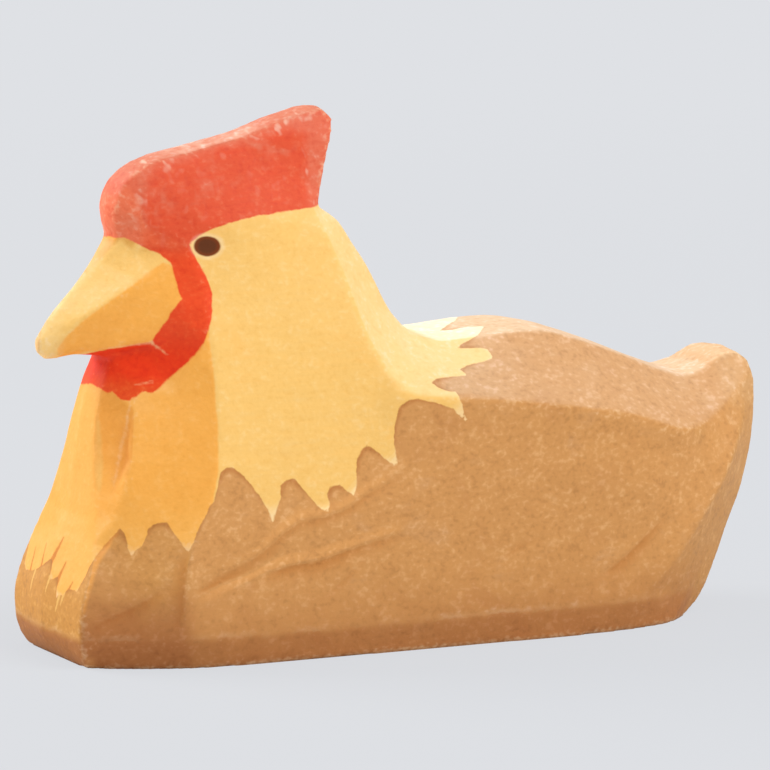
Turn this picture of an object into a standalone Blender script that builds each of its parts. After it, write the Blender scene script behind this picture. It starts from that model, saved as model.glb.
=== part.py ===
"""A sitting hen, carved with a knife from one short piece of wooden board.

The figure is one solid. Its side view was sawn out of the board, which left a
flat rim all round, and long knife cuts then slope from that rim to the two
sides. So the model is the sawn outline, the half width of the rim along it,
and the edges where one cut meets the next. The wood between those edges is
stretched straight, as a blade leaves it, and the far side mirrors the near one.

The beak points to -X and the tail to +X, the sides face -Y and +Y, and the hen
sits on z = 0 with the middle of its length and width at the origin. The lengths
below are counted from a line across the board, and the built solid is then slid
along X until its middle lies over the origin.
"""
import math

import bmesh
import bpy
from mathutils import Vector
from mathutils.geometry import delaunay_2d_cdt

MM = 0.001

# Places along the board, in millimetres from the line across it
BREAST_X = -34.4
BEAK_TIP_X = -35.2
COMB_FRONT_X = -28.2
COMB_REAR_X = -6.2
NAPE_X = 3.2
TAIL_DIP_X = 29.7
TAIL_REAR_X = 37.0
BASE_FRONT_X = -33.4
BASE_REAR_X = 27.8

# Heights above the table, in millimetres
BEAK_TIP_Z = 29.0
CHIN_Z = 27.7
COMB_BASE_Z = 38.6
COMB_TOP_Z = 49.4
NAPE_Z = 27.6
BACK_Z = 27.9
TAIL_DIP_Z = 22.5
TAIL_TOP_Z = 24.3
BELLY_EDGE_Z = 2.7

# Half widths across the board, in millimetres
SIDE = 12.5
BASE_SIDE = 12.0
BREAST_RIM = 8.0
THROAT_RIM = 2.5
BEAK_RIM = 0.6
COMB_RIM = 1.9
NECK_RIM = 4.2
BACK_RIM = 5.3
TAIL_RIM = 3.7
RUMP_RIM = 6.1
FACE_SIDE = 6.0

# How far the middle of the rim stands out beyond its two edges, in millimetres
RIM_CROWN = 0.3
BREAST_CROWN = 0.7

# Spacing of the mesh along the edges and between them, in millimetres, and how
# near a loose point may come to an edge
EDGE_STEP = 1.5
FIELD_STEP = 2.4
EDGE_CLEARANCE = 1.5

# The skin between the edges: rounds of pulling, and the weakest pull
SKIN_ROUNDS = 300
LEAST_PULL = 0.05

# Points closer than this are one point, in millimetres
SAME_POINT = 0.01

WOOD_COLOUR = (0.62, 0.36, 0.15, 1.0)


def outline_stretches():
    """Stretches of the sawn outline, anticlockwise seen from the near side.

    A place is its x, its z, the rim's half width and the rim's crown.
    A stretch is smooth inside and may turn a corner where it ends.
    """
    base = [
        (BASE_FRONT_X, 0, BREAST_RIM - 1.1, 0),
        (BASE_FRONT_X + 2.2, 0, BREAST_RIM + 0.4, 0),
        (BASE_FRONT_X + 4.9, 0, BREAST_RIM + 1.7, 0),
        (BASE_FRONT_X + 8.7, 0, BASE_SIDE - 0.9, 0),
        (BASE_FRONT_X + 12.9, 0, BASE_SIDE - 0.3, 0),
        (-14.4, 0, BASE_SIDE - 0.1, 0),
        (-3.9, 0, BASE_SIDE, 0),
        (5.4, 0, BASE_SIDE, 0),
        (BASE_REAR_X - 11.5, 0, BASE_SIDE - 0.1, 0),
        (BASE_REAR_X - 6.2, 0, BASE_SIDE - 0.9, 0),
        (BASE_REAR_X - 2.3, 0, BASE_SIDE - 2.4, 0),
        (BASE_REAR_X, 0, RUMP_RIM + 1.2, 0),
    ]
    rump = [
        (BASE_REAR_X, 0, RUMP_RIM + 1.2, 0),
        (BASE_REAR_X + 1.8, 0.9, RUMP_RIM + 0.3, RIM_CROWN),
        (TAIL_REAR_X - 6.3, 2.3, RUMP_RIM, RIM_CROWN),
        (TAIL_REAR_X - 5.4, 4.2, RUMP_RIM - 0.2, RIM_CROWN),
        (TAIL_REAR_X - 3.8, 7.9, RUMP_RIM - 0.6, RIM_CROWN),
        (TAIL_REAR_X - 1.9, 11.7, TAIL_RIM + 1.2, RIM_CROWN),
        (TAIL_REAR_X - 0.7, 15.5, TAIL_RIM + 0.7, RIM_CROWN),
        (TAIL_REAR_X, TAIL_TOP_Z - 4.7, TAIL_RIM + 0.1, RIM_CROWN),
        (TAIL_REAR_X, TAIL_TOP_Z - 2.7, TAIL_RIM, RIM_CROWN),
        (TAIL_REAR_X - 0.6, TAIL_TOP_Z - 1.0, TAIL_RIM - 0.2, RIM_CROWN),
        (TAIL_REAR_X - 1.8, TAIL_TOP_Z - 0.1, TAIL_RIM - 0.3, RIM_CROWN),
        (TAIL_REAR_X - 3.2, TAIL_TOP_Z - 0.2, TAIL_RIM - 0.2, RIM_CROWN),
        (TAIL_DIP_X + 2.0, TAIL_DIP_Z + 0.5, TAIL_RIM, RIM_CROWN),
        (TAIL_DIP_X, TAIL_DIP_Z, TAIL_RIM + 0.3, RIM_CROWN),
        (TAIL_DIP_X - 3.1, TAIL_DIP_Z + 0.8, BACK_RIM - 0.9, RIM_CROWN),
        (TAIL_DIP_X - 6.3, BACK_Z - 3.3, BACK_RIM - 0.5, RIM_CROWN),
        (TAIL_DIP_X - 9.5, BACK_Z - 2.0, BACK_RIM - 0.2, RIM_CROWN),
        (TAIL_DIP_X - 12.6, BACK_Z - 0.9, BACK_RIM, RIM_CROWN),
        (14.0, BACK_Z, BACK_RIM, RIM_CROWN),
        (8.2, BACK_Z, BACK_RIM, RIM_CROWN),
        (NAPE_X, NAPE_Z, BACK_RIM, RIM_CROWN),
    ]
    neck = [
        (NAPE_X, NAPE_Z, BACK_RIM, RIM_CROWN),
        (NAPE_X - 2.6, NAPE_Z + 0.8, BACK_RIM - 0.3, RIM_CROWN),
        (NAPE_X - 4.7, NAPE_Z + 2.9, NECK_RIM + 0.4, RIM_CROWN),
        (NAPE_X - 6.1, NAPE_Z + 5.8, NECK_RIM + 0.1, RIM_CROWN),
        (COMB_REAR_X + 2.2, COMB_BASE_Z - 3.2, NECK_RIM, RIM_CROWN),
        (COMB_REAR_X + 0.9, COMB_BASE_Z - 1.3, NECK_RIM, RIM_CROWN),
        (COMB_REAR_X - 0.5, COMB_BASE_Z + 0.7, NECK_RIM, RIM_CROWN),
        (COMB_REAR_X - 2.6, COMB_BASE_Z + 2.2, NECK_RIM, RIM_CROWN),
    ]
    comb = [
        (COMB_REAR_X - 2.6, COMB_BASE_Z + 2.2, NECK_RIM, RIM_CROWN),
        (COMB_REAR_X - 2.1, COMB_BASE_Z + 3.6, COMB_RIM + 2.0, RIM_CROWN),
        (COMB_REAR_X - 1.3, COMB_BASE_Z + 6.2, COMB_RIM + 1.5, RIM_CROWN),
        (COMB_REAR_X - 0.4, COMB_TOP_Z - 2.1, COMB_RIM + 0.9, RIM_CROWN),
        (COMB_REAR_X, COMB_TOP_Z - 0.9, COMB_RIM + 0.2, RIM_CROWN),
        (COMB_REAR_X - 0.9, COMB_TOP_Z, COMB_RIM, RIM_CROWN),
        (COMB_REAR_X - 3.9, COMB_TOP_Z - 0.4, COMB_RIM, RIM_CROWN),
        (COMB_REAR_X - 8.9, COMB_TOP_Z - 2.0, COMB_RIM, RIM_CROWN),
        (COMB_FRONT_X + 8.2, COMB_BASE_Z + 7.8, COMB_RIM, RIM_CROWN),
        (COMB_FRONT_X + 3.1, COMB_BASE_Z + 6.6, COMB_RIM, RIM_CROWN),
        (COMB_FRONT_X + 0.9, COMB_BASE_Z + 5.0, COMB_RIM, RIM_CROWN),
        (COMB_FRONT_X, COMB_BASE_Z + 2.6, COMB_RIM, RIM_CROWN),
        (COMB_FRONT_X + 0.4, COMB_BASE_Z, COMB_RIM - 0.4, RIM_CROWN),
    ]
    beak_top = [
        (COMB_FRONT_X + 0.4, COMB_BASE_Z, COMB_RIM - 0.4, RIM_CROWN),
        (COMB_FRONT_X - 1.2, COMB_BASE_Z - 2.2, BEAK_RIM + 0.3, RIM_CROWN),
        (BEAK_TIP_X + 4.1, BEAK_TIP_Z + 5.3, BEAK_RIM, RIM_CROWN),
        (BEAK_TIP_X + 1.2, BEAK_TIP_Z + 2.1, BEAK_RIM, RIM_CROWN),
        (BEAK_TIP_X, BEAK_TIP_Z + 0.3, BEAK_RIM, RIM_CROWN),
        (BEAK_TIP_X + 0.1, BEAK_TIP_Z - 0.6, BEAK_RIM, RIM_CROWN),
        (BEAK_TIP_X + 0.8, BEAK_TIP_Z - 1.2, BEAK_RIM, RIM_CROWN),
        (BEAK_TIP_X + 2.0, BEAK_TIP_Z - 1.1, BEAK_RIM + 0.2, RIM_CROWN),
        (BEAK_TIP_X + 3.5, CHIN_Z + 0.4, BEAK_RIM + 0.6, RIM_CROWN),
        (BEAK_TIP_X + 6.5, CHIN_Z, THROAT_RIM - 0.2, RIM_CROWN),
    ]
    throat = [
        (BEAK_TIP_X + 6.5, CHIN_Z, THROAT_RIM - 0.2, RIM_CROWN),
        (BREAST_X + 4.8, CHIN_Z - 2.0, THROAT_RIM - 0.1, RIM_CROWN),
        (BREAST_X + 3.8, CHIN_Z - 5.3, THROAT_RIM + 0.1, RIM_CROWN),
        (BREAST_X + 3.1, 18.0, THROAT_RIM + 1.1, RIM_CROWN),
        (BREAST_X + 2.5, 13.5, BREAST_RIM - 2.2, RIM_CROWN),
        (BREAST_X + 2.0, 11.7, BREAST_RIM - 1.3, BREAST_CROWN - 0.2),
        (BREAST_X + 1.1, 8.9, BREAST_RIM - 0.3, BREAST_CROWN),
        (BREAST_X + 0.3, 6.5, BREAST_RIM - 0.1, BREAST_CROWN),
        (BREAST_X, 4.2, BREAST_RIM, BREAST_CROWN),
        (BREAST_X + 0.1, BELLY_EDGE_Z - 0.4, BREAST_RIM - 0.2, BREAST_CROWN),
    ]
    breast_foot = [
        (BREAST_X + 0.1, BELLY_EDGE_Z - 0.4, BREAST_RIM - 0.2, BREAST_CROWN),
        (BREAST_X + 0.4, 1.0, BREAST_RIM - 0.5, BREAST_CROWN / 2),
        (BASE_FRONT_X, 0, BREAST_RIM - 1.1, 0),
    ]
    return [base, rump, neck, comb, beak_top, throat, breast_foot]


def carved_edges():
    """Edges on the near side where one knife cut meets the next.

    A place is its x, its z and the wood's half width there.
    """
    shoulder = (-4.0, BACK_Z - 4.0, SIDE - 0.7)
    back = [
        shoulder,
        (2.4, BACK_Z - 4.5, SIDE - 0.2),
        (12.2, BACK_Z - 5.9, SIDE),
        (TAIL_DIP_X - 9.2, BACK_Z - 7.5, SIDE - 0.5),
        (TAIL_DIP_X - 3.2, TAIL_DIP_Z - 4.0, SIDE - 1.5),
        (TAIL_DIP_X - 1.6, TAIL_DIP_Z - 4.0, SIDE - 2.6),
        (TAIL_DIP_X + 0.6, TAIL_DIP_Z - 3.3, TAIL_RIM + 4.6),
        (TAIL_REAR_X - 4.0, TAIL_TOP_Z - 3.8, TAIL_RIM + 2.9),
        (TAIL_REAR_X - 1.4, TAIL_TOP_Z - 2.5, TAIL_RIM + 1.0),
    ]
    neck_back = [
        shoulder,
        (-4.8, 26.0, SIDE - 1.7),
        (-6.0, 28.8, SIDE - 2.8),
        (-7.0, 32.4, FACE_SIDE + 2.4),
        (-7.8, 35.7, FACE_SIDE + 1.1),
        (-9.0, COMB_BASE_Z + 0.1, FACE_SIDE + 0.1),
        (-9.6, COMB_BASE_Z + 2.0, FACE_SIDE - 0.8),
    ]
    neck_front = [
        (-21.4, CHIN_Z + 6.3, FACE_SIDE + 0.8),
        (-21.6, CHIN_Z + 2.9, FACE_SIDE + 2.2),
        (-21.6, CHIN_Z - 1.6, FACE_SIDE + 3.5),
        (-21.8, CHIN_Z - 6.0, SIDE - 1.8),
        (-22.4, 18.2, SIDE - 1.0),
        (-23.8, 13.8, SIDE - 0.4),
        (-25.5, 10.3, SIDE - 0.1),
        (-26.1, 7.6, SIDE - 0.1),
        (-25.3, BELLY_EDGE_Z, SIDE - 0.7),
    ]
    belly = [
        (BREAST_X + 2.4, BELLY_EDGE_Z, BREAST_RIM + 0.9),
        (BREAST_X + 5.0, BELLY_EDGE_Z, BREAST_RIM + 2.1),
        (-25.3, BELLY_EDGE_Z, SIDE - 0.7),
        (-19.0, BELLY_EDGE_Z, SIDE - 0.3),
        (-6.4, BELLY_EDGE_Z, SIDE - 0.1),
        (7.0, BELLY_EDGE_Z, SIDE - 0.1),
        (16.6, BELLY_EDGE_Z + 0.2, SIDE - 0.2),
        (21.0, BELLY_EDGE_Z + 0.4, SIDE - 0.5),
        (26.0, BELLY_EDGE_Z + 1.0, RUMP_RIM + 4.0),
    ]
    flank = [
        (-26.1, 7.6, SIDE - 0.1),
        (-18.0, 11.8, SIDE),
        (-8.0, 14.0, SIDE),
        (4.0, 15.0, SIDE),
        (14.0, 15.2, SIDE),
        (22.0, 13.5, SIDE - 0.3),
    ]
    rear = [
        (TAIL_REAR_X - 1.4, TAIL_TOP_Z - 3.4, TAIL_RIM + 1.0),
        (TAIL_REAR_X - 2.7, TAIL_TOP_Z - 6.1, TAIL_RIM + 2.9),
        (TAIL_REAR_X - 4.8, 15.2, RUMP_RIM + 2.8),
        (TAIL_REAR_X - 7.4, 11.8, RUMP_RIM + 4.1),
        (TAIL_REAR_X - 9.7, 9.4, RUMP_RIM + 5.0),
        (TAIL_REAR_X - 12.6, 6.1, SIDE - 0.7),
        (21.0, BELLY_EDGE_Z + 0.4, SIDE - 0.5),
    ]
    beak_ridge = [
        (BEAK_TIP_X + 1.1, BEAK_TIP_Z - 0.7, BEAK_RIM + 0.4),
        (BEAK_TIP_X + 1.9, BEAK_TIP_Z + 0.9, BEAK_RIM + 1.0),
        (BEAK_TIP_X + 3.7, BEAK_TIP_Z + 2.6, BEAK_RIM + 2.0),
        (BEAK_TIP_X + 5.8, BEAK_TIP_Z + 4.2, BEAK_RIM + 2.9),
        (BEAK_TIP_X + 8.6, BEAK_TIP_Z + 6.0, BEAK_RIM + 3.9),
        (BEAK_TIP_X + 10.8, BEAK_TIP_Z + 6.6, FACE_SIDE - 0.9),
    ]
    beak_lower = [
        (BEAK_TIP_X + 2.9, CHIN_Z + 0.8, BEAK_RIM + 0.9),
        (BEAK_TIP_X + 4.6, CHIN_Z + 0.9, BEAK_RIM + 1.5),
        (BEAK_TIP_X + 7.0, CHIN_Z + 1.3, BEAK_RIM + 2.9),
        (BEAK_TIP_X + 9.3, CHIN_Z + 1.7, FACE_SIDE - 1.4),
    ]
    wattle_top = [
        (BEAK_TIP_X + 7.5, CHIN_Z + 0.4, THROAT_RIM + 0.3),
        (BEAK_TIP_X + 9.1, CHIN_Z + 0.8, THROAT_RIM + 1.3),
        (BEAK_TIP_X + 10.3, CHIN_Z + 1.0, THROAT_RIM + 2.6),
    ]
    throat_ridge = [
        (BREAST_X + 7.0, CHIN_Z - 2.6, THROAT_RIM + 2.9),
        (BREAST_X + 6.3, CHIN_Z - 4.5, THROAT_RIM + 3.5),
        (BREAST_X + 5.8, 20.6, THROAT_RIM + 4.3),
        (BREAST_X + 5.0, 17.2, BREAST_RIM - 0.3),
        (BREAST_X + 3.7, 13.6, BREAST_RIM - 0.4),
    ]
    comb_top = [
        (COMB_REAR_X - 1.2, COMB_TOP_Z - 2.2, COMB_RIM + 0.9),
        (COMB_REAR_X - 3.9, COMB_TOP_Z - 1.7, COMB_RIM + 0.9),
        (COMB_REAR_X - 8.9, COMB_TOP_Z - 3.2, COMB_RIM + 0.9),
        (COMB_FRONT_X + 8.2, COMB_BASE_Z + 6.6, COMB_RIM + 0.9),
        (COMB_FRONT_X + 4.0, COMB_BASE_Z + 5.5, COMB_RIM + 1.0),
        (COMB_FRONT_X + 2.2, COMB_BASE_Z + 4.0, COMB_RIM + 1.3),
        (COMB_FRONT_X + 2.0, COMB_BASE_Z + 1.8, COMB_RIM + 1.8),
    ]
    comb_base = [
        (COMB_FRONT_X + 4.6, COMB_BASE_Z + 0.3, FACE_SIDE - 1.0),
        (COMB_FRONT_X + 9.4, COMB_BASE_Z + 1.4, FACE_SIDE),
        (COMB_REAR_X - 8.4, COMB_BASE_Z + 1.9, FACE_SIDE - 0.1),
    ]
    cheek = [
        (-22.6, 37.6, FACE_SIDE - 0.3),
        (-19.4, 38.0, FACE_SIDE + 0.1),
    ]
    return [back, neck_back, neck_front, belly, flank, rear, beak_ridge, beak_lower,
            wattle_top, throat_ridge, comb_top, comb_base, cheek]


def smooth_line(places, step):
    """Points about one step apart on a smooth curve through the places."""
    places = [Vector(place) for place in places]
    first = places[0] * 2 - places[1]
    last = places[-1] * 2 - places[-2]
    padded = [first] + places + [last]
    points = [places[0]]
    for before, start, end, after in zip(padded, padded[1:], padded[2:], padded[3:]):
        reach = (end.xy - start.xy).length
        pull_in = catmull_pull(before, start, end)
        pull_out = catmull_pull(after, end, start)
        count = max(1, round(reach / step))
        for index in range(1, count + 1):
            points.append(cubic(start, start + pull_in, end + pull_out, end, index / count))
    return points


def catmull_pull(before, here, ahead):
    """Handle of the smooth curve at a place, a third of the way to the next place."""
    reach_back = (here.xy - before.xy).length
    reach = (ahead.xy - here.xy).length
    slope_back = (here - before) / reach_back
    slope = (ahead - here) / reach
    tangent = (slope * reach_back + slope_back * reach) / (reach_back + reach)
    return tangent * reach / 3


def cubic(start, handle_in, handle_out, end, share):
    """Point on a cubic curve."""
    rest = 1 - share
    return (start * rest ** 3 + handle_in * (3 * rest * rest * share)
            + handle_out * (3 * rest * share * share) + end * share ** 3)


def closed_outline():
    """The whole outline as one ring of points, each place once."""
    ring = []
    for stretch in outline_stretches():
        ring.extend(smooth_line(stretch, EDGE_STEP)[:-1])
    return ring


def inside(point, ring):
    """Whether a point lies inside the ring."""
    crossings = 0
    for start, end in zip(ring, ring[1:] + ring[:1]):
        if (start.y > point.y) != (end.y > point.y):
            share = (point.y - start.y) / (end.y - start.y)
            if start.x + share * (end.x - start.x) > point.x:
                crossings += 1
    return crossings % 2 == 1


def field_points(ring, lines):
    """Loose points spread evenly over the side, clear of every edge."""
    edges = [point for line in [ring] + lines for point in line]
    row_height = FIELD_STEP * math.sqrt(3) / 2
    points = []
    z = min(point.y for point in ring) + row_height
    row = 0
    while z < max(point.y for point in ring):
        x = min(point.x for point in ring) + FIELD_STEP * (0.5 if row % 2 else 0)
        while x < max(point.x for point in ring):
            place = Vector((x, z))
            near = min((place - edge.xy).length for edge in edges)
            if near > EDGE_CLEARANCE and inside(place, ring):
                points.append(place)
            x += FIELD_STEP
        z += row_height
        row += 1
    return points


def stretch_field(widths, fixed, points, triangles):
    """Half widths of the loose points, stretched like a taut skin between the edges."""
    pulls = {index: {} for index in range(len(widths))}
    for triangle in triangles:
        for turn in range(3):
            corner, one, other = (triangle[(turn + step) % 3] for step in range(3))
            arm = points[one] - points[corner]
            other_arm = points[other] - points[corner]
            pull = max(LEAST_PULL, arm.dot(other_arm) / abs(arm.cross(other_arm)))
            pulls[one][other] = pulls[one].get(other, 0) + pull
            pulls[other][one] = pulls[other].get(one, 0) + pull
    loose = [index for index in pulls if index not in fixed]
    for _ in range(SKIN_ROUNDS):
        for index in loose:
            around = pulls[index]
            total = sum(widths[other] * pull for other, pull in around.items())
            widths[index] = total / sum(around.values())


def outward(ring, index):
    """Direction away from the wood at a point of the anticlockwise ring."""
    along = ring[(index + 1) % len(ring)].xy - ring[index - 1].xy
    return Vector((along.y, -along.x)).normalized()


def side_plan(ring, lines):
    """The near side cut into triangles along its edges.

    Returns its points, their half widths, its triangles and, for each point of
    the ring, the number of the plan's point that lies there.
    """
    flat = [point.xy for line in [ring] + lines for point in line]
    known = [min(point.z, SIDE) for line in [ring] + lines for point in line]
    edges = [(index, (index + 1) % len(ring)) for index in range(len(ring))]
    first = len(ring)
    for line in lines:
        edges.extend((index, index + 1) for index in range(first, first + len(line) - 1))
        first += len(line)
    flat.extend(field_points(ring, lines))
    loop = [list(range(len(ring)))]
    inside_only = 1
    points, _, triangles, sources, _, _ = delaunay_2d_cdt(flat, edges, loop, inside_only, SAME_POINT)
    widths = []
    fixed = set()
    rim = {}
    for index, origin in enumerate(sources):
        held = [source for source in origin if source < len(known)]
        if held:
            fixed.add(index)
        widths.append(known[held[0]] if held else SIDE)
        rim.update((source, index) for source in held if source < len(ring))
    stretch_field(widths, fixed, points, triangles)
    return points, widths, triangles, rim


def build_hen():
    """The hen's near half as a mesh object, mirrored to the whole solid."""
    ring = closed_outline()
    lines = [smooth_line(line, EDGE_STEP) for line in carved_edges()]
    points, widths, triangles, rim = side_plan(ring, lines)
    mesh = bmesh.new()
    side = [mesh.verts.new((point.x * MM, -width * MM, point.y * MM))
            for point, width in zip(points, widths)]
    for triangle in triangles:
        mesh.faces.new([side[corner] for corner in triangle])
    middle = []
    for index, point in enumerate(ring):
        crowned = point.xy + outward(ring, index) * point.w
        middle.append(mesh.verts.new((crowned.x * MM, 0, crowned.y * MM)))
    for index in range(len(ring)):
        ahead = (index + 1) % len(ring)
        mesh.faces.new((side[rim[ahead]], side[rim[index]], middle[index], middle[ahead]))
    bmesh.ops.triangulate(mesh, faces=mesh.faces[:])
    reach = [vertex.co.x for vertex in mesh.verts]
    slide = Vector((-(min(reach) + max(reach)) / 2, 0, 0))
    bmesh.ops.translate(mesh, verts=mesh.verts[:], vec=slide)
    data = bpy.data.meshes.new("hen")
    mesh.to_mesh(data)
    mesh.free()
    hen = bpy.data.objects.new("hen", data)
    bpy.context.scene.collection.objects.link(hen)
    mirror = hen.modifiers.new("far_side", "MIRROR")
    mirror.use_axis = (False, True, False)
    mirror.use_mirror_merge = True
    mirror.merge_threshold = SAME_POINT * MM
    return hen


def wood_material():
    """Stained and oiled wood."""
    material = bpy.data.materials.new("stained_wood")
    material.use_nodes = True
    shader = material.node_tree.nodes["Principled BSDF"]
    shader.inputs["Base Color"].default_value = WOOD_COLOUR
    shader.inputs["Roughness"].default_value = 0.6
    shader.inputs["Metallic"].default_value = 0.0
    return material


def main():
    """Clear the scene and build the hen."""
    for old in list(bpy.data.objects):
        bpy.data.objects.remove(old, do_unlink=True)
    hen = build_hen()
    hen.data.materials.append(wood_material())


main()
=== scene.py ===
"""Looks of a sitting hen, carved with a knife from board and stained with thin colours.

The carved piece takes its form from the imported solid. Its edges are sanded round, a few
long knife cuts and the slight unevenness of hand work are pressed into its faces, and
then the stains go on: yellow over head and breast down to a ragged feather edge, red on
comb, cheek and wattle, brown on the body, and a dark dot for the eye.

Lengths inside the classes are millimetres in the frame's own axes. The hen looks to -X,
its near side faces -Y, and z = 0 is the table.
"""
import logging
import math
from dataclasses import dataclass
from enum import Enum
from typing import Any

import bpy
import numpy as np
from mathutils import Matrix, Vector, noise
from mathutils.bvhtree import BVHTree


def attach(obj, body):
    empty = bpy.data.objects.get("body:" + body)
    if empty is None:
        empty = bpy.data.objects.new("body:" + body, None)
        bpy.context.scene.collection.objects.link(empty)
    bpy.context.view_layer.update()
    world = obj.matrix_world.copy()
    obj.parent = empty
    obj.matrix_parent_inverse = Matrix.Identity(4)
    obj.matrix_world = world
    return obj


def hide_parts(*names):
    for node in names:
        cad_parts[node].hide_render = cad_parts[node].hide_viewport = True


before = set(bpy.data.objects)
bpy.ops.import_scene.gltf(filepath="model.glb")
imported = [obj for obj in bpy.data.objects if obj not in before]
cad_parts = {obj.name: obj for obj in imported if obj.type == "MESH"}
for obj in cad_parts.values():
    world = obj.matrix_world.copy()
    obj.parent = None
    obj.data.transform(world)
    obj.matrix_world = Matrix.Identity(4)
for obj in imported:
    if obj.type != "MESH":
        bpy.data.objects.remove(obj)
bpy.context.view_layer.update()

MM = 0.001
NODE = "hen"
BODY = "root"

Place = tuple[float, float, float]
Spot = tuple[float, float]
Colour = tuple[float, float, float]

log = logging.getLogger("hen")


class Side(Enum):
    """The two sides of the hen, by the sign of y."""

    NEAR = -1.0
    FAR = 1.0


class Blend(Enum):
    """Ways of laying one colour over another."""

    COVER = "MIX"
    MULTIPLY = "MULTIPLY"


class Field(Enum):
    """Fields that the carved piece carries for its finish.

    Those named for an edge are millimetres inside it. The others are shares, except the
    bend, which is one over the radius that the wood turns with there.
    """

    CAPE = "cape_edge"
    RED = "red_edge"
    FOOT = "foot_edge"
    COMB = "comb_edge"
    GOLD = "gold_edge"
    BREAST = "breast_edge"
    AROUND = "yellow_around"
    # A brown painted darker as shade, low on the sides.
    LOW_SHADE = "low_painted_shade"
    HOLLOW = "knife_hollow"
    RISING = "facing_up"
    FORWARD = "facing_forward"
    BEND = "bend"


class View(Enum):
    """Directions in which a stroke is laid out, by the axes that count."""

    SIDE = (1.0, 0.0, 1.0)
    FRONT = (0.0, 1.0, 1.0)


# Ragged lower edge of the yellow, from the middle of the breast to the back.
BREAST_FEATHERS: tuple[Place, ...] = (
    (-35.0, 5.6, 7.1), (-35.1, 3.6, 7.4), (-35.1, 1.6, 8.2), (-34.9, 0.3, 9.0),
    (-34.9, -0.3, 9.1), (-35.1, -0.6, 8.3), (-35.4, -0.9, 7.3), (-35.2, -1.5, 7.5),
    (-35.0, -2.3, 7.9), (-35.3, -2.5, 7.0), (-35.6, -2.7, 5.9), (-35.4, -3.2, 6.3),
    (-35.3, -3.9, 6.3), (-35.2, -4.3, 6.8), (-35.1, -4.7, 7.0),
    (-35.0, -5.7, 7.1), (-35.0, -6.1, 7.0),
)
SIDE_FEATHERS: tuple[Place, ...] = (
    (-34.7, -6.6, 8.0), (-34.1, -7.0, 9.4), (-33.6, -7.4, 10.3), (-32.8, -7.3, 11.2),
    (-31.9, -7.7, 12.3), (-31.3, -8.0, 12.9), (-31.0, -8.4, 12.3), (-30.9, -8.7, 11.2),
    (-30.7, -9.1, 10.5), (-30.3, -9.2, 11.0), (-29.8, -9.4, 11.4), (-29.5, -9.5, 12.0),
    (-29.2, -9.4, 13.0), (-28.8, -9.7, 13.4), (-27.7, -10.3, 13.6), (-27.2, -11.0, 12.5),
    (-26.8, -11.7, 11.7), (-26.5, -12.1, 11.1), (-25.9, -12.1, 11.8), (-25.2, -12.0, 13.3),
    (-24.5, -12.0, 14.3), (-24.3, -11.9, 15.0), (-23.7, -11.9, 15.4), (-23.2, -11.7, 16.8),
    (-22.9, -11.5, 17.9), (-22.3, -11.4, 18.4), (-21.5, -11.4, 18.3), (-20.5, -11.5, 17.5),
    (-19.7, -11.7, 16.4), (-19.0, -11.9, 15.4), (-18.4, -12.1, 14.3), (-18.0, -12.3, 13.2),
    (-17.5, -12.1, 14.5), (-17.0, -12.0, 15.4), (-17.0, -11.8, 16.4), (-16.3, -11.8, 16.9),
    (-15.6, -11.7, 17.0), (-15.0, -11.9, 16.2), (-14.2, -12.1, 15.2), (-13.6, -12.3, 14.4),
    (-12.5, -12.5, 13.6), (-12.3, -12.3, 14.5), (-12.5, -12.2, 15.4), (-12.1, -12.1, 16.0),
    (-11.2, -12.1, 16.1), (-10.6, -12.2, 15.6), (-9.8, -12.3, 14.9), (-9.4, -12.1, 16.6),
    (-9.4, -11.9, 18.0), (-8.8, -11.7, 19.1), (-8.2, -11.7, 19.5), (-7.5, -11.8, 19.0),
    (-6.7, -12.0, 18.3), (-5.5, -12.2, 17.4), (-5.3, -12.2, 17.8), (-5.6, -11.9, 19.4),
    (-5.6, -11.9, 20.3), (-5.3, -11.8, 21.9), (-4.9, -11.7, 22.9), (-4.1, -11.8, 23.4),
    (-3.1, -11.9, 23.5), (-2.4, -12.0, 23.2), (-1.4, -12.1, 23.0), (-0.3, -12.2, 22.6),
    (0.4, -12.2, 22.4), (0.7, -12.3, 21.8), (1.6, -12.3, 21.0), (1.7, -12.3, 21.2),
    (1.4, -12.3, 21.8), (1.1, -12.3, 22.9), (0.8, -11.6, 23.9), (0.0, -11.4, 24.0),
    (-0.6, -11.1, 24.3),
    (-1.2, -10.7, 24.7), (-0.5, -10.2, 25.0), (0.3, -10.0, 25.0), (1.5, -9.8, 25.0),
    (3.0, -9.7, 25.0), (2.6, -8.9, 25.5), (3.4, -8.5, 25.7), (4.5, -8.3, 25.8),
    (6.5, -7.8, 26.1), (6.5, -7.5, 26.4), (6.4, -6.9, 26.8), (5.8, -6.6, 26.9),
    (3.5, -6.4, 27.0),
)
BACK_FEATHERS: tuple[Place, ...] = (
    (4.2, -5.9, 27.3), (4.9, -5.7, 27.5), (5.5, -5.5, 27.7), (6.6, -4.6, 27.9),
    (7.6, -3.2, 28.0), (8.3, -2.0, 28.1), (7.1, -1.3, 28.1), (5.1, -1.7, 28.0),
    (4.0, -1.4, 27.9), (5.2, -0.2, 28.1), (7.7, 2.7, 28.1), (8.9, 4.9, 28.0),
)

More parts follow.
